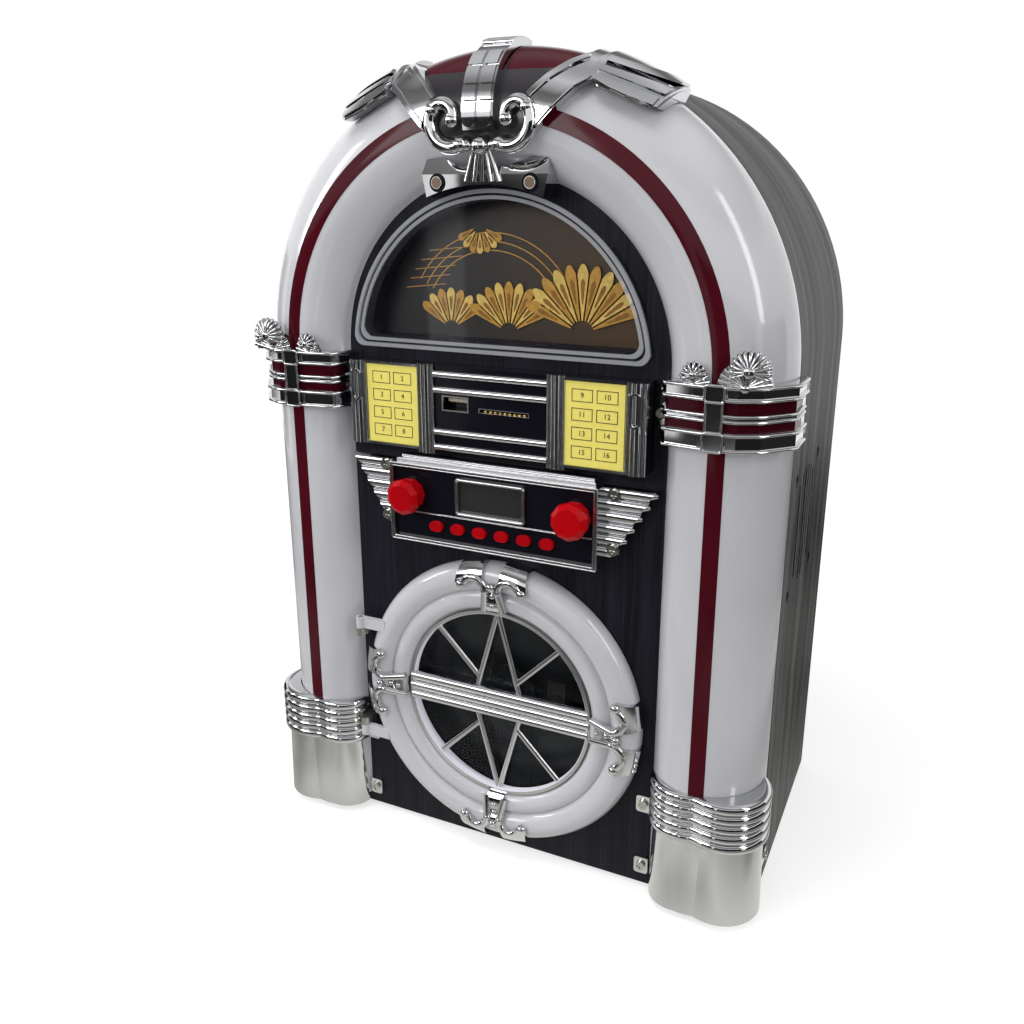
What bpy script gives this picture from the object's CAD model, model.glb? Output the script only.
# %% [markdown]
# # A tabletop mini jukebox
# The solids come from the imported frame: each one is already in its place, in metres.
# This lesson dresses them. It sets up the camera and the light, gives every solid a finish,
# and adds the small printed and moulded details that are too fine for the solids.

# %% Load the frame and keep the solids' own box
import math
import bpy
import bmesh
from mathutils import Matrix, Vector


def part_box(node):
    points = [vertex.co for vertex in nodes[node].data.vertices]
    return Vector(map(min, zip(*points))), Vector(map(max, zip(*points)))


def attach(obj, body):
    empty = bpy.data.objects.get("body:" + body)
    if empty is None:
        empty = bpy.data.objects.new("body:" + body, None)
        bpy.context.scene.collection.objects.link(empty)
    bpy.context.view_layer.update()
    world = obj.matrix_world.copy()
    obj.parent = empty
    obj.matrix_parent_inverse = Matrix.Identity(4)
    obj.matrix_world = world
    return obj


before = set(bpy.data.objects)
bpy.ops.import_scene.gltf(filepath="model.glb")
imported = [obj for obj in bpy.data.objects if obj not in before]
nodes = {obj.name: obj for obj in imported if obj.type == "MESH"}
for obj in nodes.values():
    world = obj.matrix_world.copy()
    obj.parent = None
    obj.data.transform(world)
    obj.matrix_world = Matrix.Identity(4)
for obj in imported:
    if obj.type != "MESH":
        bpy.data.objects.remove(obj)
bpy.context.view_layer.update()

# %% [markdown]
# ## Places in millimetres
# Details are easier to place in millimetres. X and Z are those of the frame, and y is counted from the
# face of the front board, so that whatever stands before the board has a negative y.

# %% Places in millimetres
MM = 0.001
board_face_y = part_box("front_board")[0].y


def at(x, y, z):
    """Place in metres from millimetres, with y counted from the face of the front board."""
    return Vector((x * MM, board_face_y + y * MM, z * MM))


print("the front board's face lies at y =", round(board_face_y, 4))

# %% [markdown]
# ## The camera
# The photograph was taken by hand from the front right, a little above the object's middle.
# A camera fitted to the arch, the door and the straight edges gives its place, its turn and
# its lens, so the render can be laid over the photograph. Depth of field stays off.

# %% Camera
PHOTO_PX, FOCAL_PX, SENSOR_MM = 1024, 943.67, 36
LENS_MIDDLE_PX = (534.9, 481.5)
EYE_MM = (198.62, -389.27, 333.49)
YAW, PITCH, ROLL = (math.radians(a) for a in (24.82, 16.41, 0.27))

ahead = Vector((-math.sin(YAW) * math.cos(PITCH), math.cos(YAW) * math.cos(PITCH), -math.sin(PITCH)))
level = Vector((math.cos(YAW), math.sin(YAW), 0))
above = level.cross(ahead)
cam_right = level * math.cos(ROLL) + above * math.sin(ROLL)
cam_up = above * math.cos(ROLL) - level * math.sin(ROLL)

camera_data = bpy.data.cameras.new("photo_camera")
camera_data.sensor_width = SENSOR_MM
camera_data.lens = FOCAL_PX * SENSOR_MM / PHOTO_PX
camera_data.shift_x = (PHOTO_PX / 2 - LENS_MIDDLE_PX[0]) / PHOTO_PX
camera_data.shift_y = (LENS_MIDDLE_PX[1] - PHOTO_PX / 2) / PHOTO_PX
camera_data.clip_start = 0.01
camera = bpy.data.objects.new("photo_camera", camera_data)
bpy.context.scene.collection.objects.link(camera)
turn = Matrix((cam_right, cam_up, -ahead)).transposed().to_4x4()
camera.matrix_world = Matrix.Translation(at(*EYE_MM)) @ turn
bpy.context.scene.camera = camera
bpy.context.scene.view_settings.view_transform = "Standard"
print("camera at", [round(v, 3) for v in camera.matrix_world.translation])

# %% [markdown]
# ## Node helpers
# Every finish below is a small node tree round one Principled shader. These helpers make the
# shader, add nodes with their settings in one call, and join them.

# %% Node helpers


def new_finish(name):
    """A material with an empty tree but for its Principled shader and its output."""
    finish = bpy.data.materials.new(name)
    finish.use_nodes = True
    tree = finish.node_tree
    shader = next(n for n in tree.nodes if n.type == "BSDF_PRINCIPLED")
    return finish, tree, shader


def feed(tree, node, inputs):
    """Set a node's inputs to values, or link them to sockets."""
    for key, value in inputs.items():
        if isinstance(value, bpy.types.NodeSocket):
            tree.links.new(value, node.inputs[key])
        else:
            node.inputs[key].default_value = value


def add(tree, kind, inputs=None, **settings):
    """Add a node, set its properties, then feed its inputs."""
    node = tree.nodes.new(kind)
    for key, value in settings.items():
        setattr(node, key, value)
    feed(tree, node, inputs or {})
    return node


def dress(finish, *names):
    """Give a finish to solids by node name."""
    for name in names:
        slots = nodes[name].data.materials
        slots.clear()
        slots.append(finish)
    print(finish.name, "on", len(names), "solids")


print("node helpers are ready")

# %% [markdown]
# Colour, gloss and relief all come from noise that is worked out at each point, so no picture has to be
# wrapped round a piece and there are no seams. The noise is measured in the object's own metres, so a
# pattern keeps its size on every piece.

# %% Texture helpers


def ramp(tree, factor, stops):
    """A colour ramp from (place, grey or colour) pairs."""
    node = add(tree, "ShaderNodeValToRGB", {"Fac": factor})
    elements = node.color_ramp.elements
    while len(elements) < len(stops):
        elements.new(0.5)
    for element, (place, colour) in zip(elements, stops):
        element.position = place
        element.color = (*colour, 1) if isinstance(colour, tuple) else (colour, colour, colour, 1)
    return node.outputs["Color"]


def stretched(tree, scale=(1, 1, 1)):
    """The object's own coordinates in metres, stretched by a scale for each axis."""
    place = add(tree, "ShaderNodeTexCoord").outputs["Object"]
    return add(tree, "ShaderNodeMapping", {"Vector": place, "Scale": scale}).outputs["Vector"]


def noise(tree, vector, scale, detail=3.0, roughness=0.5):
    """Soft noise between nought and one."""
    return add(tree, "ShaderNodeTexNoise", {"Vector": vector, "Scale": scale, "Detail": detail,
                                            "Roughness": roughness}).outputs["Fac"]


def bump(tree, shader, height, strength, distance):
    """Let a height bend the shader's normals."""
    node = add(tree, "ShaderNodeBump", {"Height": height, "Strength": strength, "Distance": distance})
    tree.links.new(node.outputs["Normal"], shader.inputs["Normal"])


print("texture helpers are ready")

# %% [markdown]
# ## Chrome
# The trim is moulded plastic with a vacuum-metallised skin: a clean mirror, but never as flat
# as real plate. A broad, very shallow bump lets the reflections waver, and a faint cloud in the
# roughness keeps large faces from looking like glass. Narrow rails squeeze the whole room into a
# line, so they get the same skin without the waver.

# %% Chrome
CHROME_TONE, STEEL_TONE = (0.66, 0.665, 0.68), (0.56, 0.55, 0.50)


def make_chrome(name, tone, rough, waver):
    """A metal skin with a cloudy roughness and a shallow waver."""
    finish, tree, shader = new_finish(name)
    cloud = noise(tree, stretched(tree), 60, detail=2)
    feed(tree, shader, {"Base Color": (*tone, 1), "Metallic": 1,
                        "Roughness": ramp(tree, cloud, [(0.3, rough), (0.75, rough * 1.9)])})
    bump(tree, shader, noise(tree, stretched(tree), 140, detail=1), waver, 0.0004)
    return finish


chrome = make_chrome("trim_chrome", CHROME_TONE, rough=0.045, waver=0.012)
dress(chrome, "right_collar", "left_collar", "right_foot", "left_foot", "ornament", "door_clips")
fine_chrome = make_chrome("fine_chrome", CHROME_TONE, rough=0.11, waver=0.0)
dress(fine_chrome, "title_frame", "control_bezel", "lcd_frame", "door_grille")
plated = make_chrome("plated_steel", STEEL_TONE, rough=0.2, waver=0.1)
dress(plated, "trim_screws", "rear_screws", "hinge_pins", "hinge_brackets", "volume_shaft",
      "tuning_shaft", "volume_pot", "tuning_pot", "disc_motor", "sled_rails")

# %% [markdown]
# ## Milky plastic
# The tubes and the door's ring are thick diffusers. Light goes a few millimetres into them, so
# they get some subsurface scattering under a glossy skin, and a shallow waver from the mould. Plain
# white paint would be simpler, but its shadows are too hard for a lamp's cover.

# %% Milky plastic
SOAK_DEPTH = 0.004

milky, tree, shader = new_finish("milky_plastic")
soft_cloud = noise(tree, stretched(tree), 14, detail=2)
milky_tone = ramp(tree, soft_cloud, [(0.3, (0.57, 0.572, 0.60)), (0.75, (0.62, 0.624, 0.65))])
feed(tree, shader, {"Base Color": milky_tone, "Roughness": 0.14, "Subsurface Weight": 0.25,
                    "Subsurface Radius": (SOAK_DEPTH, SOAK_DEPTH, SOAK_DEPTH),
                    "Coat Weight": 0.4, "Coat Roughness": 0.05})
bump(tree, shader, noise(tree, stretched(tree, (1, 1, 0.3)), 45, detail=2), 0.06, 0.0006)
dress(milky, "arch_tube", "right_tube", "left_tube", "door_ring")

# %% [markdown]
# ## Coloured gloss plastics
# One helper makes the dark red stripes, the bright red buttons and the black mouldings. Each has
# a base that drifts a little in tone, a clear coat, and a trace of moulding texture. The dark ones
# have a weak gloss, because a white room would turn them grey.

# %% Coloured gloss plastics


def make_gloss(name, tone, rough, drift=0.25, grain=0.04, coat=0.5, gloss=0.5):
    """A glossy plastic whose tone drifts by a share, with fine grain under a coat."""
    finish, tree, shader = new_finish(name)
    cloud = noise(tree, stretched(tree), 30, detail=2)
    darker = tuple(c * (1 - drift) for c in tone)
    feed(tree, shader, {"Base Color": ramp(tree, cloud, [(0.3, darker), (0.7, tone)]), "Roughness": rough,
                        "Specular IOR Level": gloss, "Coat Weight": coat, "Coat Roughness": 0.04})
    bump(tree, shader, noise(tree, stretched(tree), 900, detail=2), grain, 0.0002)
    return finish


dark_red = make_gloss("dark_red_plastic", (0.072, 0.004, 0.010), 0.12, coat=0.05, gloss=0.14)
dress(dark_red, "arch_stripe", "right_stripe", "left_stripe", "ornament_panels")
wine_red = make_gloss("wine_red_plastic", (0.052, 0.003, 0.009), 0.14, coat=0.05, gloss=0.12)
dress(wine_red, "right_collar_bands", "left_collar_bands")
bright_red = make_gloss("bright_red_plastic", (0.50, 0.002, 0.006), 0.12, coat=0.08, gloss=0.12)
dress(bright_red, "volume_knob", "tuning_knob", *[f"button_{i}" for i in range(1, 7)])
gloss_black = make_gloss("gloss_black", (0.007, 0.007, 0.012), 0.14, coat=0.04, gloss=0.14)
dress(gloss_black, "title_base", "control_fascia")
well_black = make_gloss("well_black", (0.008, 0.011, 0.014), 0.24, grain=0.0, coat=0.0, gloss=0.3)
dress(well_black, "disc_well", "disc_spindle")
matte_black = make_gloss("matte_black", (0.014, 0.014, 0.016), 0.5, grain=0.05, coat=0.0, gloss=0.3)
dress(matte_black, "laser_sled", "right_speaker", "left_speaker", "dc_jack", "rubber_pads")

# %% [markdown]
# ## Wood-grain foil
# The cabinet is fibreboard wrapped in printed foil. On the sides the grain follows the wrap, so
# its streaks are fine across the depth and long along the height. On the front they are fine
# across the width and stand upright. A photograph of grain could be wrapped round, but noise that is
# stretched along the grain has no seam and no end. The back and the base are painted board, so their
# noise has no direction.

# %% Wood-grain foil


def make_foil(name, across, stops, rough, depth, gloss=0.5):
    """Streaks by a scale for each axis, coloured by stops, fine ones over broad ones."""
    finish, tree, shader = new_finish(name)
    fine = noise(tree, stretched(tree, across), 1.0, detail=6, roughness=0.7)
    broad = noise(tree, stretched(tree, tuple(c * 0.16 for c in across)), 1.0)
    both = add(tree, "ShaderNodeMix", {"Factor": 0.4, "A": fine, "B": broad}, data_type="FLOAT")
    feed(tree, shader, {"Base Color": ramp(tree, both.outputs["Result"], stops), "Specular IOR Level": gloss,
                        "Roughness": ramp(tree, fine, [(0.3, rough * 0.8), (0.8, rough * 1.2)])})
    bump(tree, shader, fine, depth, 0.0006)
    return finish


side_stops = [(0.36, 0.008), (0.48, 0.036), (0.62, 0.155)]
side_foil = make_foil("side_foil", (9, 540, 22), side_stops, rough=0.5, depth=0.7, gloss=0.18)
dress(side_foil, "cabinet_shell")
front_stops = [(0.35, (0.004, 0.004, 0.006)), (0.7, (0.021, 0.020, 0.032))]
front_foil = make_foil("front_foil", (900, 60, 18), front_stops, rough=0.42, depth=0.5, gloss=0.14)
dress(front_foil, "front_board")
paint_stops = [(0.3, 0.012), (0.7, 0.03)]
painted_board = make_foil("painted_board", (160, 160, 160), paint_stops, rough=0.7, depth=0.3)
dress(painted_board, "base_panel", "rear_panel")

# %% [markdown]
# ## Clear windows
# The two windows are thin clear mouldings. Full refraction would darken what lies behind them, so
# they are a faint mirror skin that lets the rest of the light straight through. The moulded rim of
# the upper window stands in front of its pane, and there the skin is denser, because a rim bends
# light at every edge and looks pale.

# %% Clear windows
PANE_FRONT, RIM_STEP, RIM_BLEND = -5, 0.0004, 0.0002


def spread(tree, value, low, high, to_low=0.0, to_high=1.0):
    """Map a value from one span to another, held at both ends."""
    return add(tree, "ShaderNodeMapRange", {"Value": value, "From Min": low, "From Max": high,
                                            "To Min": to_low, "To Max": to_high}).outputs["Result"]


def axis_place(tree, axis):
    """One of the object's own coordinates in metres."""
    return add(tree, "ShaderNodeSeparateXYZ", {"Vector": stretched(tree)}).outputs[axis]


def make_clear(name, pane_share, rim_share, rim_y):
    """A mirror skin that is present by a small share on the pane, and by a larger one before rim_y."""
    finish, tree, shader = new_finish(name)
    depth = axis_place(tree, "Y")
    edge = (rim_y - RIM_BLEND, rim_y + RIM_BLEND)
    smear = noise(tree, stretched(tree, (1, 1, 0.4)), 30)
    feed(tree, shader, {"Base Color": (0.80, 0.83, 0.88, 1),
                        "Alpha": spread(tree, depth, *edge, rim_share, pane_share),
                        "Metallic": spread(tree, depth, *edge),
                        "Roughness": ramp(tree, smear, [(0.35, 0.02), (0.75, 0.09)])})
    bump(tree, shader, noise(tree, stretched(tree), 16, detail=1), 0.05, 0.0006)
    return finish


pane_front_y = at(0, PANE_FRONT, 0).y
dress(make_clear("clear_window", 0.016, 0.34, pane_front_y - RIM_STEP), "dome_window")
dress(make_clear("clear_door", 0.012, 0.012, pane_front_y), "door_window")

# %% [markdown]
# ## Card, print and electronics
# The cards are matt yellow print and the display is dark glass. The card behind the upper window is
# printed nearly black on the left and warms to brown on the right, as if lit by a lamp.

# %% Card, print and electronics
FIBRE_SCALE, BACKDROP_HALF = 420, 0.075


def fibres(tree, shader):
    """Fine fibres of card, which also bump the surface."""
    fibre = noise(tree, stretched(tree), FIBRE_SCALE, detail=4)
    bump(tree, shader, fibre, 0.08, 0.0001)
    return fibre


def make_matt(name, tone, drift, rough=0.6):
    """A matt card or print whose tone drifts by a share along its fibres."""
    finish, tree, shader = new_finish(name)
    darker = tuple(c * (1 - drift) for c in tone)
    feed(tree, shader, {"Base Color": ramp(tree, fibres(tree, shader), [(0.25, darker), (0.75, tone)]),
                        "Roughness": rough})
    return finish


dress(make_matt("card_yellow", (0.90, 0.78, 0.16), drift=0.06, rough=0.45), "left_card", "right_card")
night_print, tree, shader = new_finish("night_print")
along = spread(tree, axis_place(tree, "X"), -BACKDROP_HALF, BACKDROP_HALF)
night_stops = [(0.0, (0.010, 0.010, 0.016)), (0.45, (0.018, 0.013, 0.011)), (1.0, (0.085, 0.042, 0.010))]
feed(tree, shader, {"Base Color": ramp(tree, along, night_stops), "Roughness": 0.5})
fibres(tree, shader)
dress(night_print, "backdrop")
dress(make_gloss("display_glass", (0.030, 0.031, 0.030), 0.22, drift=0.1, grain=0.0, coat=0.1, gloss=0.2),
      "lcd_module")
dress(make_matt("circuit_green", (0.02, 0.10, 0.04), drift=0.3), "control_board")

# %% [markdown]
# ## Mesh helpers
# A detail is drawn as rings of points that are joined to a closed skin: the two faces of a plate, the
# corners of a frame's section, or the round sections of a wire. Curves with a bevel could make the wires
# and modifiers the plates, but with rings every point is known, and the same helper serves them all.
# Each detail becomes a piece that rides on a body and carries one finish.

# %% Mesh helpers
SHARP_DEG = 50


def box_mm(node):
    """Lower and upper corner of a solid's box in mm of the frame."""
    low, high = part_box(node)
    return low / MM, high / MM


def face_mm(node):
    """Depth in mm of a solid's front, counted from the face of the front board."""
    return (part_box(node)[0].y - board_face_y) / MM


def middle_mm(node):
    """Middle of a solid's box in the front view, as (x, z) in mm."""
    low, high = box_mm(node)
    return (low.x + high.x) / 2, (low.z + high.z) / 2


def make_piece(name, bm, finish, body="cabinet", smooth=False):
    """Turn a bmesh into a piece that rides on a body. A smooth one keeps its steep edges sharp."""
    bmesh.ops.recalc_face_normals(bm, faces=bm.faces)
    if smooth:
        bm.normal_update()
        for face in bm.faces:
            face.smooth = True
        for edge in bm.edges:
            edge.smooth = edge.calc_face_angle(0) < math.radians(SHARP_DEG)
    mesh = bpy.data.meshes.new(name)
    bm.to_mesh(mesh)
    bm.free()
    piece = bpy.data.objects.new(name, mesh)
    bpy.context.scene.collection.objects.link(piece)
    mesh.materials.append(finish)
    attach(piece, body)
    print(name, "has", len(mesh.polygons), "faces")


def join_rings(bm, rings, closed=False):
    """Join each ring of points to the next. The ends get a face, unless the last joins the first."""
    pairs = list(zip(rings, rings[1:]))
    if closed:
        pairs.append((rings[-1], rings[0]))
    for one, two in pairs:
        for i in range(len(one)):
            j = (i + 1) % len(one)
            bm.faces.new((one[i], one[j], two[j], two[i]))
    if not closed:
        bm.faces.new(rings[0])
        bm.faces.new(rings[-1][::-1])


print("mesh helpers are ready")

# %% [markdown]
# ## Printed title cards
# Each card carries a table of outlined boxes with a plain number in each. Print has no height of
# its own, but as a mesh it stays sharp at any size: thin closed frames and digits a tenth of a
# millimetre thick lie on the card's face.

# %% Boxes and digits
PRINT_T = 0.1


def add_frame(bm, x, z, w, h, line, face_y):
    """A closed rectangular frame of print round the middle (x, z)."""
    rings = []
    for grow, y in ((0, face_y), (0, face_y - PRINT_T), (-line, face_y - PRINT_T), (-line, face_y)):
        half_w, half_h = w / 2 + grow, h / 2 + grow
        corners = [(-half_w, -half_h), (half_w, -half_h), (half_w, half_h), (-half_w, half_h)]
        rings.append([bm.verts.new(at(x + i, y, z + j)) for i, j in corners])
    join_rings(bm, rings, closed=True)


def digits_mesh(text, size):
    """The outline of plain digits as a thin closed mesh, upright and facing the front, in metres."""
    curve = bpy.data.curves.new("digits", "FONT")
    curve.body = text
    curve.size = size * MM
    curve.extrude = PRINT_T * MM / 2
    curve.align_x = "CENTER"
    curve.align_y = "CENTER"
    curve.resolution_u = 3
    holder = bpy.data.objects.new("digits", curve)
    mesh = bpy.data.meshes.new_from_object(holder)
    bpy.data.objects.remove(holder)
    bpy.data.curves.remove(curve)
    mesh.transform(Matrix.Rotation(math.pi / 2, 4, "X"))
    return mesh


print("the print is", PRINT_T, "mm thick")

# %% [markdown]
# The boxes stand in columns and rows about the middle of each card. The numbers run on from the left card
# to the right one.

# %% Title cards
COLUMNS, ROWS = 2, 4
PITCH_X, PITCH_Z = 11.8, 8.6
BOX_W, BOX_H, BOX_LINE = 10, 5.8, 0.32
DIGIT_H = 3.4
ink = make_matt("card_ink", (0.030, 0.028, 0.020), drift=0.3, rough=0.5)


def print_card(node, first):
    """Print a table of boxes on a card, numbered from first."""
    face_y = face_mm(node)
    mid_x, mid_z = middle_mm(node)
    bm = bmesh.new()
    for n in range(COLUMNS * ROWS):
        x = mid_x + (n % COLUMNS - (COLUMNS - 1) / 2) * PITCH_X
        z = mid_z + ((ROWS - 1) / 2 - n // COLUMNS) * PITCH_Z
        add_frame(bm, x, z, BOX_W, BOX_H, BOX_LINE, face_y)
        digits = digits_mesh(str(first + n), DIGIT_H)
        digits.transform(Matrix.Translation(at(x, face_y - PRINT_T / 2, z)))
        bm.from_mesh(digits)
        bpy.data.meshes.remove(digits)
    make_piece(node + "_print", bm, ink)


print_card("left_card", 1)
print_card("right_card", 1 + COLUMNS * ROWS)

# %% [markdown]
# ## Backdrop design
# Behind the window stands a printed card, gold on black, with a plain fan design. A flat pattern could
# be mixed in its finish, but thin plates in a few tones of gold give the window some depth.

# %% Backdrop fans
ARCH_Z = 264.0
LEAF_T, LEAF_SHARE, LEAF_DROOP = 0.2, 0.44, 0.18
CORE_T, CORE_SHARE, CORE_FROM, CORE_TO = 0.15, 0.2, 0.3, 0.74
GOLD_TONES = [(0.62, 0.33, 0.05), (0.86, 0.60, 0.15), (0.34, 0.15, 0.025)]
# Each fan: x, height over the arch's middle, inner and outer radius, first and last angle, leaves, depth.
FANS = [(38, 13, 6, 31, 18, 162, 11, 0.9), (1, 11, 5, 24, 24, 156, 9, 0.5),
        (-30, 11, 4.5, 20, 30, 150, 7, 0.15), (-14, 60, 4, 13, 200, 340, 7, 0.3)]
golds = [make_matt(f"gold_print_{i}", tone, drift=0.35, rough=0.35) for i, tone in enumerate(GOLD_TONES)]
back_y = face_mm("backdrop")


def add_plate(bm, outline, face_y, thick=PRINT_T):
    """A closed plate from a front-view outline in mm, standing in front of the plane face_y in mm."""
    join_rings(bm, [[bm.verts.new(at(x, y, z)) for x, z in outline] for y in (face_y, face_y - thick)])


def polar(centre, radius, angle):
    """Front-view point at a radius and an angle from a centre."""
    return (centre[0] + radius * math.cos(angle), centre[1] + radius * math.sin(angle))


def petal(centre, inner, outer, middle, half):
    """Outline of one leaf of a fan between two radii, round at its outer end."""
    droop = (outer - inner) * LEAF_DROOP
    tip = [polar(centre, outer - droop * (k / 4) ** 2, middle + half * k / 4) for k in range(-4, 5)]
    root = [polar(centre, inner, middle + half * share) for share in (-0.5, 0.5)]
    return [root[0]] + tip + [root[1]]


def add_fan(bms, centre, inner, outer, start, end, leaves, rise):
    """A fan of leaves in turn of two tones, each with a darker core, standing a little before the card."""
    face_y = back_y - rise
    step = math.radians(end - start) / leaves
    span = outer - inner
    for i in range(leaves):
        middle = math.radians(start) + step * (i + 0.5)
        add_plate(bms[i % 2], petal(centre, inner, outer, middle, step * LEAF_SHARE), face_y, LEAF_T)
        core = petal(centre, inner + span * CORE_FROM, inner + span * CORE_TO, middle, step * CORE_SHARE)
        add_plate(bms[2], core, face_y - LEAF_T, CORE_T)


fans = [bmesh.new() for _ in golds]
for x, rise, *shape in FANS:
    add_fan(fans, (x, ARCH_Z + rise), *shape)
for i, bm in enumerate(fans):
    make_piece(f"backdrop_fan_{i}", bm, golds[i])

# %% [markdown]
# Thin gold lines cross the card behind the fans: three arcs over the fans, and a few slanted strokes
# that start near the card's left edge.

# %% Backdrop lines
ARC_CENTRE, ARC_RADII, ARC_W = (-8, ARCH_Z + 12), (37, 41, 45), 0.5
STROKES, STROKE_LOW, STROKE_PITCH = 5, 30, 4.4
STROKE_REACH, STROKE_INSET, STROKE_LEN, STROKE_RISE, STROKE_W = 66, 4, 22, 2.4, 0.4
LINE_T = 0.12


def arc_band(centre, radius, width, start, end, steps=28):
    """Outline of a band along an arc, from its outer side to its inner one."""
    angles = [math.radians(start + (end - start) * k / steps) for k in range(steps + 1)]
    outer = [polar(centre, radius, a) for a in angles]
    inner = [polar(centre, radius - width, a) for a in angles]
    return outer + inner[::-1]


bm = bmesh.new()
for radius in ARC_RADII:
    add_plate(bm, arc_band(ARC_CENTRE, radius, ARC_W, 12, 150), back_y, LINE_T)
for k in range(STROKES):
    rise = STROKE_LOW + STROKE_PITCH * k
    left = STROKE_INSET - math.sqrt(STROKE_REACH ** 2 - rise ** 2)
    low, high = ARCH_Z + rise, ARCH_Z + rise + STROKE_RISE
    add_plate(bm, [(left, low), (left + STROKE_LEN, high), (left + STROKE_LEN, high + STROKE_W),
                   (left, low + STROKE_W)], back_y, LINE_T)
make_piece("backdrop_lines", bm, golds[0])

# %% [markdown]
# ## Contacts in the ports
# Looking into the ports one sees a pale tongue with gilt contacts under it, and a row of springs at
# the back of the card slot. They are small closed blocks inside the sockets. The sockets' shells are
# bright at the mouth and dim further in, where little light reaches.

# %% Finish of the ports
DIM_DEPTH = 0.0022
gilt = make_chrome("gilt_contacts", (0.78, 0.52, 0.20), rough=0.2, waver=0.1)
ivory = make_matt("ivory_tongue", (0.62, 0.56, 0.46), drift=0.1, rough=0.4)
port_shell, tree, shader = new_finish("port_shell")
mouth_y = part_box("usb_socket")[0].y
inward = spread(tree, axis_place(tree, "Y"), mouth_y, mouth_y + DIM_DEPTH)
shell_stops = [(0.0, (0.74, 0.73, 0.70)), (0.12, (0.60, 0.58, 0.54)), (0.5, (0.10, 0.09, 0.08)),
               (1.0, (0.02, 0.02, 0.02))]
feed(tree, shader, {"Base Color": ramp(tree, inward, shell_stops), "Metallic": 1, "Roughness": 0.28})
dress(port_shell, "usb_socket", "card_slot")

# %% [markdown]
# The blocks are placed from the middle and the mouth of each socket. Their backs lie a few millimetres
# inside.

# %% Contacts in the ports
PORT_DEPTH, PORT_PINS, PORT_PITCH = 6.2, 4, 2.4
SLOT_DEPTH, SLOT_SPRINGS, SLOT_PITCH = 6, 9, 2.5


def add_block(bm, x, z, w, h, face_y, depth):
    """A closed block round (x, z) whose back lies at face_y and whose front stands depth before it."""
    left, right, low, high = x - w / 2, x + w / 2, z - h / 2, z + h / 2
    add_plate(bm, [(left, low), (right, low), (right, high), (left, high)], face_y, depth)


def row(count, pitch):
    """Offsets of a row of things about its middle."""
    return [(k - (count - 1) / 2) * pitch for k in range(count)]


port_x, port_z = middle_mm("usb_socket")
port_y = face_mm("usb_socket")
bm = bmesh.new()
add_block(bm, port_x, port_z + 1.25, 10.8, 1.6, port_y + PORT_DEPTH, 2.6)
make_piece("usb_tongue", bm, ivory)
bm = bmesh.new()
add_block(bm, port_x, port_z, 12.8, 6.0, port_y + PORT_DEPTH + 0.4, 0.3)
make_piece("usb_cavity", bm, gloss_black)
bm = bmesh.new()
for offset in row(PORT_PINS, PORT_PITCH):
    add_block(bm, port_x + offset, port_z + 0.2, 1.2, 0.3, port_y + PORT_DEPTH, 2.2)
make_piece("usb_contacts", bm, gilt)
slot_x, slot_z = middle_mm("card_slot")
bm = bmesh.new()
for offset in row(SLOT_SPRINGS, SLOT_PITCH):
    add_block(bm, slot_x + offset, slot_z - 0.35, 1.3, 0.5, face_mm("card_slot") + SLOT_DEPTH, 4.5)
make_piece("card_contacts", bm, gilt)

# %% [markdown]
# ## Lines of the control panel
# A thin bright line parts the buttons from the knobs. Round wires run along both edges of the
# panel's frame, round the display and round each button, because a flat frame mirrors one patch of
# the room, while a rounded edge always finds a light. A wire is a round section swept along a loop,
# turned at each corner to the mean direction.

# %% Wire helpers
SHARPEST = 0.5


def circle_angles(count):
    """Evenly spaced angles round a full turn."""
    return [math.tau * k / count for k in range(count)]


def rounded_loop(x, z, w, h, r, steps=5):
    """A closed front-view loop of (x, z) points round a rectangle with round corners."""
    loop = []
    for quarter, (i, j) in enumerate([(1, 1), (-1, 1), (-1, -1), (1, -1)]):
        corner = (x + i * (w / 2 - r), z + j * (h / 2 - r))
        loop += [polar(corner, r, math.radians(90 * quarter + 90 * k / steps)) for k in range(steps + 1)]
    return loop


def mitre(before, after):
    """Step across a bend of a flat path, lengthened so that a swept section keeps its width."""
    way = (before.normalized() + after.normalized()).normalized()
    return Vector((way.y, -way.x)) / max(SHARPEST, way.dot(before.normalized()))


def add_loop(bm, loop, y, radius, sides=8):
    """A round wire along a closed front-view loop at one depth, with mitred corners."""
    rings = []
    for k, spot in enumerate(loop):
        here = Vector(spot)
        across = mitre(here - Vector(loop[k - 1]), Vector(loop[(k + 1) % len(loop)]) - here)
        ring = []
        for a in circle_angles(sides):
            x, z = here + across * (radius * math.cos(a))
            ring.append(bm.verts.new(at(x, y + radius * math.sin(a), z)))
        rings.append(ring)
    join_rings(bm, rings, closed=True)


print("wire helpers are ready")

# %% [markdown]
# The wires take their sizes from the black panel inside the frame and from the display's own frame.

# %% Lines of the control panel
FRAME_WALL, WIRE_SINK = 1.2, 0.1
LINE_DROP, LINE_INSET, LINE_H, LINE_CORNER, LINE_R = 4.75, 6.4, 0.5, 0.24, 0.2
OUTER_INSET, OUTER_CORNER, OUTER_WIRE_R = 0.9, 0.5, 0.42
INNER_INSET, INNER_CORNER, INNER_WIRE_R = 3.8, 0.3, 0.34
DISPLAY_INSET, DISPLAY_CORNER, DISPLAY_WIRE_R = 1.5, 1.4, 0.75

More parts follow.
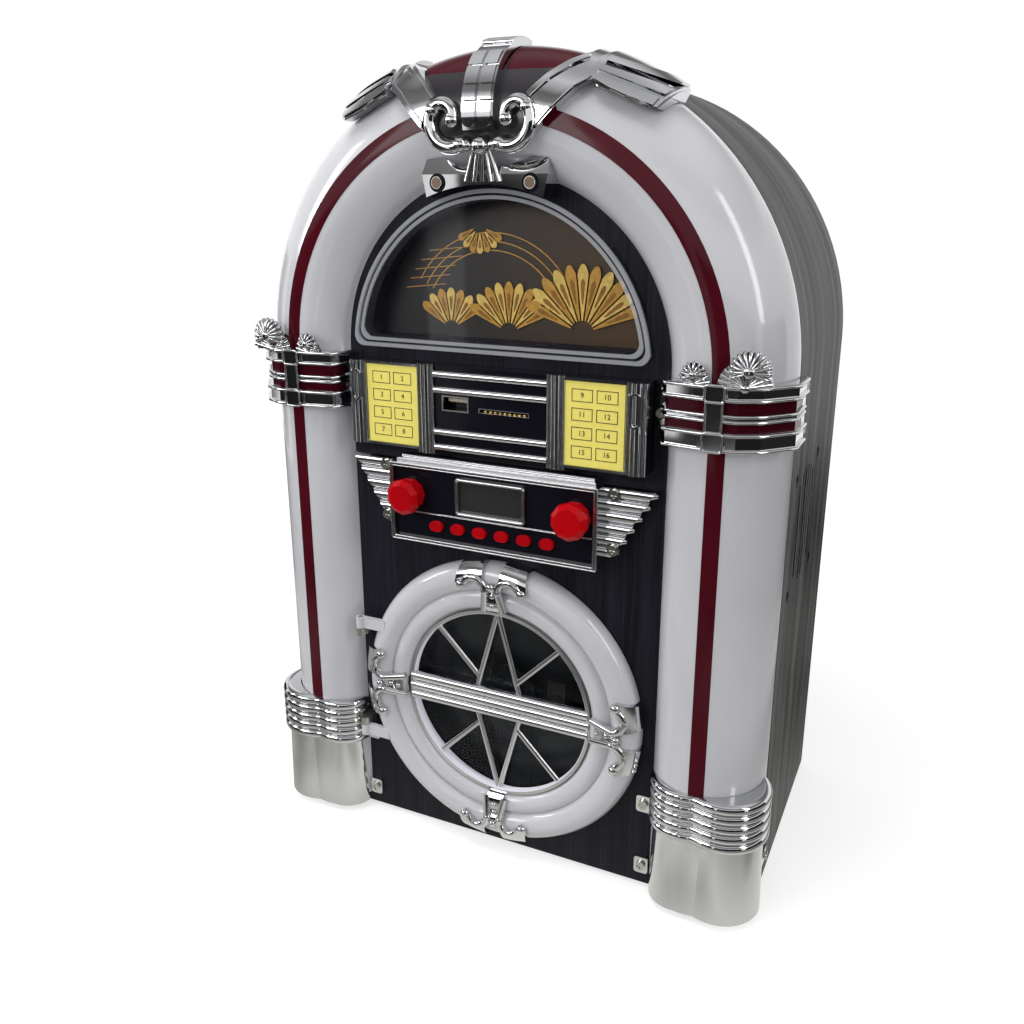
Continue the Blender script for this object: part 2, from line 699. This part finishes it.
low, high = box_mm("control_fascia")
panel_z = (low.z + high.z) / 2
frame_w, frame_h = high.x - low.x + 2 * FRAME_WALL, high.z - low.z + 2 * FRAME_WALL
line_loop = rounded_loop(0, panel_z - LINE_DROP, frame_w - LINE_INSET, LINE_H, LINE_CORNER, 2)
bm = bmesh.new()
add_loop(bm, line_loop, face_mm("control_fascia"), LINE_R)
make_piece("fascia_line", bm, fine_chrome, smooth=True)
wire_y = face_mm("control_bezel") + WIRE_SINK
outer_loop = rounded_loop(0, panel_z, frame_w - OUTER_INSET, frame_h - OUTER_INSET, OUTER_CORNER)
inner_loop = rounded_loop(0, panel_z, frame_w - INNER_INSET, frame_h - INNER_INSET, INNER_CORNER)
bm = bmesh.new()
add_loop(bm, outer_loop, wire_y, OUTER_WIRE_R)
add_loop(bm, inner_loop, wire_y, INNER_WIRE_R)
make_piece("frame_wires", bm, fine_chrome, smooth=True)
low, high = box_mm("lcd_frame")
display_loop = rounded_loop(0, (low.z + high.z) / 2, high.x - low.x - DISPLAY_INSET,
                            high.z - low.z - DISPLAY_INSET, DISPLAY_CORNER)
bm = bmesh.new()
add_loop(bm, display_loop, face_mm("lcd_frame"), DISPLAY_WIRE_R)
make_piece("display_wire", bm, fine_chrome, smooth=True)

# %% [markdown]
# Dark strips on the steps above the frame are the gaps between its louvres. They could be cut into the
# solid, but at this size a thin black strip looks the same.

# %% Louvre gaps above the frame
GAP_T = 0.1
# Each gap: inset from the frame's side, front, back, height over the frame.
LOUVRES = [(1.0, -11.3, -8.9, 0.0), (3.2, -8.0, -6.5, 1.4), (4.8, -5.3, -1.2, 2.6)]

frame_top = panel_z + frame_h / 2
bm = bmesh.new()
for inset, y0, y1, rise in LOUVRES:
    half = frame_w / 2 - inset
    corners = [(-half, y0), (half, y0), (half, y1), (-half, y1)]
    rings = [[bm.verts.new(at(x, y, frame_top + rise + lift)) for x, y in corners] for lift in (0, GAP_T)]
    join_rings(bm, rings)
make_piece("louvre_gaps", bm, gloss_black)

# %% [markdown]
# A rounded rim runs round the top of each button and moves with it. It is one more wire, in the button's
# own red, because a bevel would change the solid.

# %% Rims of the buttons
RIM_W, RIM_H, RIM_CORNER, RIM_R, RIM_SINK = 6.9, 4.7, 2.34, 0.3, 0.35

for n in range(1, 7):
    bm = bmesh.new()
    loop = rounded_loop(*middle_mm(f"button_{n}"), RIM_W, RIM_H, RIM_CORNER)
    add_loop(bm, loop, face_mm(f"button_{n}") + RIM_SINK, RIM_R)
    make_piece(f"button_rim_{n}", bm, bright_red, f"key_{n}", smooth=True)

# %% [markdown]
# ## Ends of the wings
# The flutes beside the control panel end on one slanted line. A half-round skin lies over each solid
# flute and goes on over its point, cut so that its upper edge is longer than its lower one.

# %% Ends of the wings
FLUTES, FLUTE_AXIS_Y, FLUTE_BACK_Y, FLUTE_SKIN = 6, -3.2, -0.6, 0.04
INNER_FLUTE, SLANT_MORE, PLAIN_FOOT = 8, 0.9, 5

wing_tip = box_mm("control_bezel")[1].x
flute_pitch = (frame_h - PLAIN_FOOT) / FLUTES
tip_step = (wing_tip - frame_w / 2 - INNER_FLUTE) / (FLUTES - 1)


def add_flute(bm, side, start, tip, slant, z, radius, steps=10):
    """A half-round bar along x that ends on a slanted plane."""
    angles = [math.radians(180 * k / steps - 90) for k in range(steps + 1)]
    section = [(FLUTE_AXIS_Y - radius * math.cos(a), radius * math.sin(a)) for a in angles]
    section = [(FLUTE_BACK_Y, -radius)] + section + [(FLUTE_BACK_Y, radius)]
    near = [bm.verts.new(at(side * start, y, z + h)) for y, h in section]
    far = []
    for y, h in section:
        cut = slant * (radius - h) / (2 * radius)
        far.append(bm.verts.new(at(side * (tip - cut), y, z + h)))
    join_rings(bm, [near, far])


bm = bmesh.new()
for side in (1, -1):
    for i in range(FLUTES):
        z = frame_top - (i + 0.5) * flute_pitch
        add_flute(bm, side, frame_w / 2, wing_tip - i * tip_step, tip_step + SLANT_MORE, z,
                  flute_pitch / 2 + FLUTE_SKIN)
make_piece("wing_ends", bm, fine_chrome, smooth=True)

# %% [markdown]
# ## Inner wall of the door
# Through the door's window a pale crescent shows at the lower left: the inner wall of the milky ring,
# which reaches a little way into the well. It is a band turned about the door's middle, and it rides
# on the door. A second thin band lines the grille's rim. Light that soaks through the ring reaches
# both from behind, so they have a faint glow.

# %% Inner wall of the door
WALL_IN, WALL_OUT, WALL_FRONT, WALL_BACK = 54.6, 56.2, 1.0, 6.0
RIM_WALL, LINING_T, LINING_GAP, LINING_FRONT, LINING_BACK = 1.6, 0.3, 0.02, -5.0, -1.3


def add_turned_band(bm, centre, inner, outer, y0, y1, steps=96):
    """A closed band of rectangular section turned about a front-view centre (x, z)."""
    rings = []
    for a in circle_angles(steps):
        ring = []
        for radius, y in ((inner, y0), (outer, y0), (outer, y1), (inner, y1)):
            x, z = polar(centre, radius, a)
            ring.append(bm.verts.new(at(x, y, z)))
        rings.append(ring)
    join_rings(bm, rings, closed=True)


door_middle = (0, middle_mm("door_ring")[1])
rim_r = box_mm("door_grille")[1].x - RIM_WALL
bm = bmesh.new()
add_turned_band(bm, door_middle, WALL_IN, WALL_OUT, WALL_FRONT, WALL_BACK)
add_turned_band(bm, door_middle, rim_r - LINING_T, rim_r - LINING_GAP, LINING_FRONT, LINING_BACK)
lit_milky, tree, shader = new_finish("lit_milky")
feed(tree, shader, {"Base Color": (0.62, 0.62, 0.66, 1), "Roughness": 0.3,
                    "Emission Color": (0.27, 0.26, 0.30, 1), "Emission Strength": 1})
make_piece("door_inner_wall", bm, lit_milky, "door")

# %% [markdown]
# ## Beads round the collars
# Each ring of a collar has a round bead along its upper and its lower edge. The beads catch the
# light of the ceiling, and the flat bands between them mirror the dark side of the room. A bead is
# a round section swept along the collar's plan.

# %% Beads round the collars
TUBE_C, TUBE_EDGE, CAB_R = 104.0, 83.1, 134.0
BAND_RISE, BEAD_R = 8.4, 0.75
# Each bead: height over the collar's foot, distance before the collar's plan.
BEADS = [(0.9, 1.75), (7.6, 1.75), (13.0, 1.0), (15.4, 1.0), (22.0, 1.75), (27.2, 1.75)]
BOTH_SIDES = ((1, "right"), (-1, "left"))


def collar_plan(grow):
    """Plan of the right collar from the board round to the cabinet's side, as (x, y) in mm."""
    inner, outer = TUBE_EDGE - 0.7 - grow, CAB_R + 1.8 + grow
    return [(inner, -1.0), (inner, -6.0), (TUBE_EDGE + 3.4 - grow, -13.0 - grow),
            (TUBE_C - 4.0, -15.4 - grow), (TUBE_C + 12.0, -15.4 - grow),
            (TUBE_C + 20.0 + grow, -10.9 - grow), (outer, 3.0 - grow), (outer, 19.5)]


def add_bead(bm, plan, z, radius, side, sides=10):
    """Sweep a round section along a plan at one height, with mitred corners and closed ends."""
    rings = []
    for k, spot in enumerate(plan):
        here = Vector(spot)
        before = here - Vector(plan[k - 1]) if k else Vector(plan[1]) - here
        after = Vector(plan[k + 1]) - here if k + 1 < len(plan) else before
        across = mitre(before, after)
        ring = []
        for a in circle_angles(sides):
            x, y = here + across * (radius * math.cos(a))
            ring.append(bm.verts.new(at(side * x, y, z + radius * math.sin(a))))
        rings.append(ring)
    join_rings(bm, rings)


collar_low = box_mm("right_collar_bands")[0].z - BAND_RISE
for side, word in BOTH_SIDES:
    bm = bmesh.new()
    for rise, grow in BEADS:
        add_bead(bm, collar_plan(grow), collar_low + rise, BEAD_R, side)
    make_piece(f"{word}_collar_beads", bm, chrome, smooth=True)

# %% [markdown]
# ## Straps of the collars
# An upright strap closes each collar in front of the stripe. It is a flat strip with round edges, and
# a square buckle holds it at the upper and at the lower ring. A plate alone has hard edges, so a wire of
# the same outline rounds them.

# %% Straps of the collars
STRAP_X, STRAP_EDGE_R = TUBE_C + 2.7, 0.6
STRAP_BACK, STRAP_T = 1.2, 1.3
# The strip and the buckles: height over the collar's foot, width, height, corner, depth of the edge.
STRAP_PARTS = [(14.5, 6.9, 13.2, 0.5, -17.95), (24.6, 8.2, 6.9, 1.2, -18.3), (4.3, 8.2, 7.9, 1.2, -18.3)]

for side, word in BOTH_SIDES:
    bm = bmesh.new()
    for rise, w, h, corner, y in STRAP_PARTS:
        loop = rounded_loop(side * STRAP_X, collar_low + rise, w, h, corner)
        add_plate(bm, loop, y + STRAP_BACK, STRAP_T)
        add_loop(bm, loop, y, STRAP_EDGE_R)
    make_piece(f"{word}_collar_strap", bm, chrome, smooth=True)

# %% [markdown]
# ## Shells on the collars
# The two fans on each collar are domed like shells. Rods that swell outwards run from a small knob over
# a dome to its rim, and a plate behind them closes the gaps. One domed skin with waves in it could do,
# but separate rods keep the grooves crisp.

# %% Helper for a rod


def add_rod(bm, points, radii, sides=8):
    """A closed round rod through points in mm, with a radius at each."""
    spots = [Vector(p) for p in points]
    rings = []
    for k, here in enumerate(spots):
        way = (spots[min(k + 1, len(spots) - 1)] - spots[max(k - 1, 0)]).normalized()
        one = way.cross(Vector((0, 1, 0.01))).normalized()
        two = way.cross(one)
        ring = []
        for a in circle_angles(sides):
            spot = here + (one * math.cos(a) + two * math.sin(a)) * radii[k]
            ring.append(bm.verts.new(at(*spot)))
        rings.append(ring)
    join_rings(bm, rings)


print("the rod helper is ready")

# %% [markdown]
# Each rod's points lie on the dome in even steps. Its tip dips behind the rim, so that no end shows.

# %% Shells on the collars
SHELL_RIM_Y, SHELL_STEPS = -16.4, 6
ROD_START, ROD_SWEEP = -22, 224
DOME_START, DOME_SWEEP = 15, 75
ROD_ROOT, ROD_SWELL, TIP_REACH, TIP_R, TIP_SINK = 0.045, 0.095, 1.09, 0.07, 0.3
PLATE_START, PLATE_SWEEP, PLATE_STEPS, PLATE_BACK, PLATE_T = -20, 220, 24, 0.9, 1.0
# The knob's profile: share of the bulge, share of the radius.
KNOB = [(0.2, 0.31), (0.95, 0.30), (1.1, 0.25), (1.2, 0.15), (1.23, 0.05)]
# Each shell: x, height over the collar's foot, radius, rods, bulge.
SHELLS = [(TUBE_C - 6.8, 31.6, 5.0, 9, 2.0), (TUBE_C + 16.2, 34.4, 8.0, 13, 3.0)]


def add_shell(bm, x, z, radius, rods, bulge):
    """Rods fanned over a dome round (x, z), from past one side to past the other."""
    for n in range(rods):
        turn = math.radians(ROD_START + ROD_SWEEP * n / (rods - 1))
        points, radii = [], []
        for k in range(SHELL_STEPS + 1):
            t = math.radians(DOME_START + DOME_SWEEP * k / SHELL_STEPS)
            px, pz = polar((x, z), radius * math.sin(t), turn)
            points.append((px, SHELL_RIM_Y - bulge * math.cos(t), pz))
            radii.append(radius * (ROD_ROOT + ROD_SWELL * k / SHELL_STEPS))
        px, pz = polar((x, z), radius * TIP_REACH, turn)
        add_rod(bm, points + [(px, SHELL_RIM_Y + TIP_SINK, pz)], radii + [radius * TIP_R])
    arc = [math.radians(PLATE_START + PLATE_SWEEP * k / PLATE_STEPS) for k in range(PLATE_STEPS + 1)]
    add_plate(bm, [polar((x, z), radius, a) for a in arc], SHELL_RIM_Y + PLATE_BACK, PLATE_T)
    knob = [(x, SHELL_RIM_Y - bulge * far, z) for far, _ in KNOB]
    add_rod(bm, knob, [radius * wide for _, wide in KNOB], 16)


for side, word in BOTH_SIDES:
    bm = bmesh.new()
    for x, rise, radius, rods, bulge in SHELLS:
        add_shell(bm, side * x, collar_low + rise, radius, rods, bulge)
    make_piece(f"{word}_collar_shells", bm, chrome, smooth=True)

# %% [markdown]
# ## Ribs across the feet
# The ribs of a foot run on over the notch between its two lobes. Short beads that dip in the notch join
# the solid ribs of one lobe to those of the other.

# %% Ribs across the feet
SKIRT_H, FOOT_H, FOOT_RIBS, RIB_SHARE = 44.0, 70.0, 5, 0.53
NOTCH_PLAN = [(TUBE_C - 9.0, -12.4), (TUBE_C - 5.0, -13.6), (TUBE_C - 1.0, -13.5),
              (TUBE_C + 2.2, -12.5), (TUBE_C + 5.0, -13.4), (TUBE_C + 9.5, -14.6)]

rib_pitch = (FOOT_H - SKIRT_H) / FOOT_RIBS
for side, word in BOTH_SIDES:
    bm = bmesh.new()
    for k in range(FOOT_RIBS):
        add_bead(bm, NOTCH_PLAN, SKIRT_H + (k + 0.5) * rib_pitch, rib_pitch * RIB_SHARE, side)
    make_piece(f"{word}_foot_ribs", bm, chrome, smooth=True)

# %% [markdown]
# ## Dark liner under the crown
# Between the scrolls, the strap and the wings one looks into the dark body of the crown, not at the
# light tube. A thin skin that follows the arch, a little above the tube, gives that dark ground. Its
# depth is worked out from the same two arcs as the tube's section.

# %% Helper for a skin over the tube
TUBE_PROUD, FLANK_IN, FLANK_OUT = 13.5, 22.9, 30.0


def skin_depth(x, z, offset):
    """Depth in mm of the tube's surface, moved out by an offset, at a front-view point about the arch."""
    rise = math.hypot(x, z) - TUBE_C
    flank = FLANK_IN if rise < 0 else FLANK_OUT
    return flank - TUBE_PROUD - math.sqrt((flank + offset) ** 2 - rise ** 2)


def half_width(outline, z):
    """Half width of an outline of (height, half width) pairs at a height."""
    (z0, w0), (z1, w1) = next(pair for pair in zip(outline, outline[1:]) if z <= pair[1][0] + 1e-6)
    return w0 + (w1 - w0) * (z - z0) / (z1 - z0)


def add_skin(bm, outline, low, high, columns=24, rows=16):
    """A closed skin between two offsets inside an outline of (height, half width) pairs."""
    bottom, top = outline[0][0], outline[-1][0]
    layers = []
    for offset in (low, high):
        grid = []
        for r in range(rows + 1):
            z = bottom + (top - bottom) * r / rows
            xs = [half_width(outline, z) * (2 * c / columns - 1) for c in range(columns + 1)]
            grid.append([bm.verts.new(at(x, skin_depth(x, z, offset), ARCH_Z + z)) for x in xs])
        layers.append(grid)
    back, front = layers
    for r in range(rows):
        for c in range(columns):
            bm.faces.new((front[r][c], front[r][c + 1], front[r + 1][c + 1], front[r + 1][c]))
            bm.faces.new((back[r + 1][c], back[r + 1][c + 1], back[r][c + 1], back[r][c]))
    rim = [(0, c) for c in range(columns)] + [(r, columns) for r in range(rows)]
    rim += [(rows, columns - c) for c in range(columns)] + [(rows - r, 0) for r in range(rows)]
    for (r0, c0), (r1, c1) in zip(rim, rim[1:] + rim[:1]):
        bm.faces.new((back[r0][c0], back[r1][c1], front[r1][c1], front[r0][c0]))


print("the tube stands", TUBE_PROUD, "mm proud of the board")

# %% [markdown]
# The liner is widest at the top, where the wings spread, and narrow under the scrolls.

# %% Dark liner under the crown
LINER_LOW, LINER_HIGH = 1.7, 1.9
# The liner's outline: height over the arch's middle, half width.
LINER = [(93.5, 11.5), (98.0, 21.0), (106.0, 24.0), (113.0, 24.5), (118.0, 29.0), (123.0, 34.5)]

liner_black = make_gloss("liner_black", (0.026, 0.022, 0.026), 0.3, coat=0.2)
bm = bmesh.new()
add_skin(bm, LINER, LINER_LOW, LINER_HIGH)
make_piece("crown_liner", bm, liner_black, smooth=True)

# %% [markdown]
# ## Recesses round the crown's screws
# The two screws of the crown's plate sit in dark round recesses. A thin black ring round each head
# stands for the shadow in it, and a bronze disc dims the head.

# %% Recesses round the crown's screws
CROWN_SCREW_X, CROWN_SCREW_RISE, SCREW_TOP_Y, SCREW_TOP_R = 22.5, 78, -15.4, 2.3
RECESS_IN, RECESS_OUT, RECESS_FRONT, RECESS_BACK = 2.62, 4.0, -14.34, -14.2

screws = [(side * CROWN_SCREW_X, ARCH_Z + CROWN_SCREW_RISE) for side in (1, -1)]
bm = bmesh.new()
for centre in screws:
    add_turned_band(bm, centre, RECESS_IN, RECESS_OUT, RECESS_FRONT, RECESS_BACK, 40)
make_piece("crown_recesses", bm, gloss_black)
bm = bmesh.new()
for centre in screws:
    add_plate(bm, [polar(centre, SCREW_TOP_R, a) for a in circle_angles(32)], SCREW_TOP_Y)
dim_bronze = make_chrome("dim_bronze", (0.16, 0.12, 0.09), rough=0.3, waver=0.1)
make_piece("crown_screw_tops", bm, dim_bronze)

# %% [markdown]
# ## Floor and room
# The photograph's ground is plain white. The floor is a pale diffuse sheet with a little light
# of its own for the eye, so it reads as white and still takes the shadow. In mirrors it glows by
# the distance from the object, as a table does in a lit room, with soft, slightly warm blotches.
# The room is white up to well above the eye, and over that it has one darker ring and a light
# ceiling, which chrome shows as the line that tells it from paint.

# %% Helpers for staged sheets


def ray_is(tree, *kinds):
    """One for rays of the given kinds, and nought for the rest."""
    path = add(tree, "ShaderNodeLightPath")
    result = path.outputs[f"Is {kinds[0]} Ray"]
    for kind in kinds[1:]:
        result = add(tree, "ShaderNodeMath", {0: result, 1: path.outputs[f"Is {kind} Ray"]},
                     operation="MAXIMUM").outputs[0]
    return result


def make_sheet(name, corners, tone):
    """A staged flat sheet that isn't part of the object."""
    mesh = bpy.data.meshes.new(name)
    mesh.from_pydata(corners, [], [(0, 1, 2, 3)])
    sheet = bpy.data.objects.new(name, mesh)
    bpy.context.scene.collection.objects.link(sheet)
    finish, tree, shader = new_finish(name)
    feed(tree, shader, {"Base Color": (tone, tone, tone, 1), "Roughness": 0.9})
    mesh.materials.append(finish)
    return sheet, tree, shader


print("sheet helpers are ready")

# %% [markdown]
# The floor answers each kind of ray in its own way: the eye sees white, mirrors see the glow, and the rest
# see a pale grey sheet that takes the shadow.

# %% Floor
FLOOR_REACH, FLOOR_TONE, FLOOR_LIFT = 0.9, 0.5, 0.66
GLOW_BY_DISTANCE = [(0.0, 0.8), (0.16, 0.72), (0.21, 0.44), (0.26, 0.12), (0.32, 0.50), (0.40, 0.36),
                    (0.47, 0.10), (0.62, 0.05)]
BLOTCHES = [(0.38, (0.64, 0.64, 0.59)), (0.56, (1.04, 1.04, 0.97))]

floor_corners = [(i * FLOOR_REACH, j * FLOOR_REACH, 0) for i, j in ((-1, -1), (1, -1), (1, 1), (-1, 1))]
_, tree, shader = make_sheet("floor", floor_corners, FLOOR_TONE)
lift = add(tree, "ShaderNodeMath", {0: ray_is(tree, "Camera", "Transmission"), 1: FLOOR_LIFT},
           operation="MULTIPLY").outputs[0]
feed(tree, shader, {"Emission Color": (1, 1, 1, 1), "Emission Strength": lift})
distance = add(tree, "ShaderNodeVectorMath", {0: stretched(tree)}, operation="LENGTH").outputs["Value"]
glow = ramp(tree, distance, GLOW_BY_DISTANCE)
blotches = ramp(tree, noise(tree, stretched(tree), 9, detail=1), BLOTCHES)
mottled = add(tree, "ShaderNodeMix", {0: 1.0, 6: glow, 7: blotches}, data_type="RGBA", blend_type="MULTIPLY")
mirrored = add(tree, "ShaderNodeEmission", {"Color": mottled.outputs[2]})
either = add(tree, "ShaderNodeMixShader", {0: ray_is(tree, "Glossy"), 1: shader.outputs["BSDF"],
                                           2: mirrored.outputs["Emission"]})
output = next(n for n in tree.nodes if n.type == "OUTPUT_MATERIAL")
tree.links.new(either.outputs["Shader"], output.inputs["Surface"])
print("the floor is", 2 * FLOOR_REACH, "m wide")

# %% [markdown]
# Eye and mirrors see the drawn room. Diffuse surfaces get one even grey, so the shadow stays soft.

# %% Room
EVEN_GREY = 0.46
ROOM_BY_HEIGHT = [(0.0, 1.0), (0.42, 1.0), (0.54, 0.24), (0.68, 0.16), (0.80, 0.5), (0.90, 0.75),
                  (1.0, 0.45)]

world = bpy.data.worlds.new("room")
bpy.context.scene.world = world
world.use_nodes = True
tree = world.node_tree
background = next(n for n in tree.nodes if n.type == "BACKGROUND")
direction = add(tree, "ShaderNodeTexCoord").outputs["Generated"]
height = add(tree, "ShaderNodeSeparateXYZ", {"Vector": direction}).outputs["Z"]
shown = add(tree, "ShaderNodeMix", {0: ray_is(tree, "Camera", "Glossy", "Transmission"),
                                    6: (EVEN_GREY, EVEN_GREY, EVEN_GREY, 1),
                                    7: ramp(tree, height, ROOM_BY_HEIGHT)}, data_type="RGBA")
feed(tree, background, {"Color": shown.outputs[2], "Strength": 1.0})
print("the room has", len(ROOM_BY_HEIGHT), "tones from floor to ceiling")

# %% [markdown]
# ## Dark cards
# A product photographer stands black cards beside the lens, so that chrome in a white room shows
# dark lines. These stand in a ring out of the picture with narrow gaps between them. Only mirrors
# see them: they throw no shadow and take no light from the object.

# %% Dark cards
RING_R, RING_LOW, RING_HIGH, CARD_TONE = 1.05, -0.02, 0.39, 0.012
CARD_SPANS = [(-110, -88), (-78, -31), (-28, -4), (1, 58), (66, 110)]


def ring_point(turn, z):
    """A point on the ring, with the turn in degrees from the front towards the object's right."""
    a = math.radians(turn)
    return (RING_R * math.sin(a), -RING_R * math.cos(a), z)


for i, (start, end) in enumerate(CARD_SPANS):
    corners = [ring_point(start, RING_LOW), ring_point(end, RING_LOW),
               ring_point(end, RING_HIGH), ring_point(start, RING_HIGH)]
    card, _, _ = make_sheet(f"dark_card_{i}", corners, CARD_TONE)
    card.visible_camera = False
    card.visible_diffuse = False
    card.visible_transmission = False
    card.visible_shadow = False
print(len(CARD_SPANS), "dark cards are set")

# %% [markdown]
# ## Lamps
# One broad lamp overhead gives the soft shadow. Mirrors don't see it, because it would burn white
# patches into the crown. Two upright strips draw long highlights down the tubes, and a soft lamp at
# the front left lights the panel and the cards.

# %% Lamps
AIM = Vector((0, 0, 0.2))


def soft_lamp(name, place, size, power):
    """A rectangular lamp that faces the object's middle, with its size in metres and power in watts."""
    lamp = bpy.data.lights.new(name, "AREA")
    lamp.shape = "RECTANGLE"
    lamp.size, lamp.size_y = size
    lamp.energy = power
    holder = bpy.data.objects.new(name, lamp)
    holder.location = place
    holder.rotation_euler = (AIM - Vector(place)).to_track_quat("-Z", "Y").to_euler()
    bpy.context.scene.collection.objects.link(holder)
    return holder


overhead = soft_lamp("overhead", (-0.2, -0.4, 1.6), (1.1, 0.5), 10)
overhead.visible_glossy = False
soft_lamp("strip_left", (-1.25, -0.55, 0.5), (0.16, 0.9), 4)
soft_lamp("strip_right", (1.3, -0.5, 0.9), (0.2, 1.0), 4)
soft_lamp("front_fill", (-0.7, -1.3, 0.8), (0.7, 0.5), 6)
print("four lamps are set")
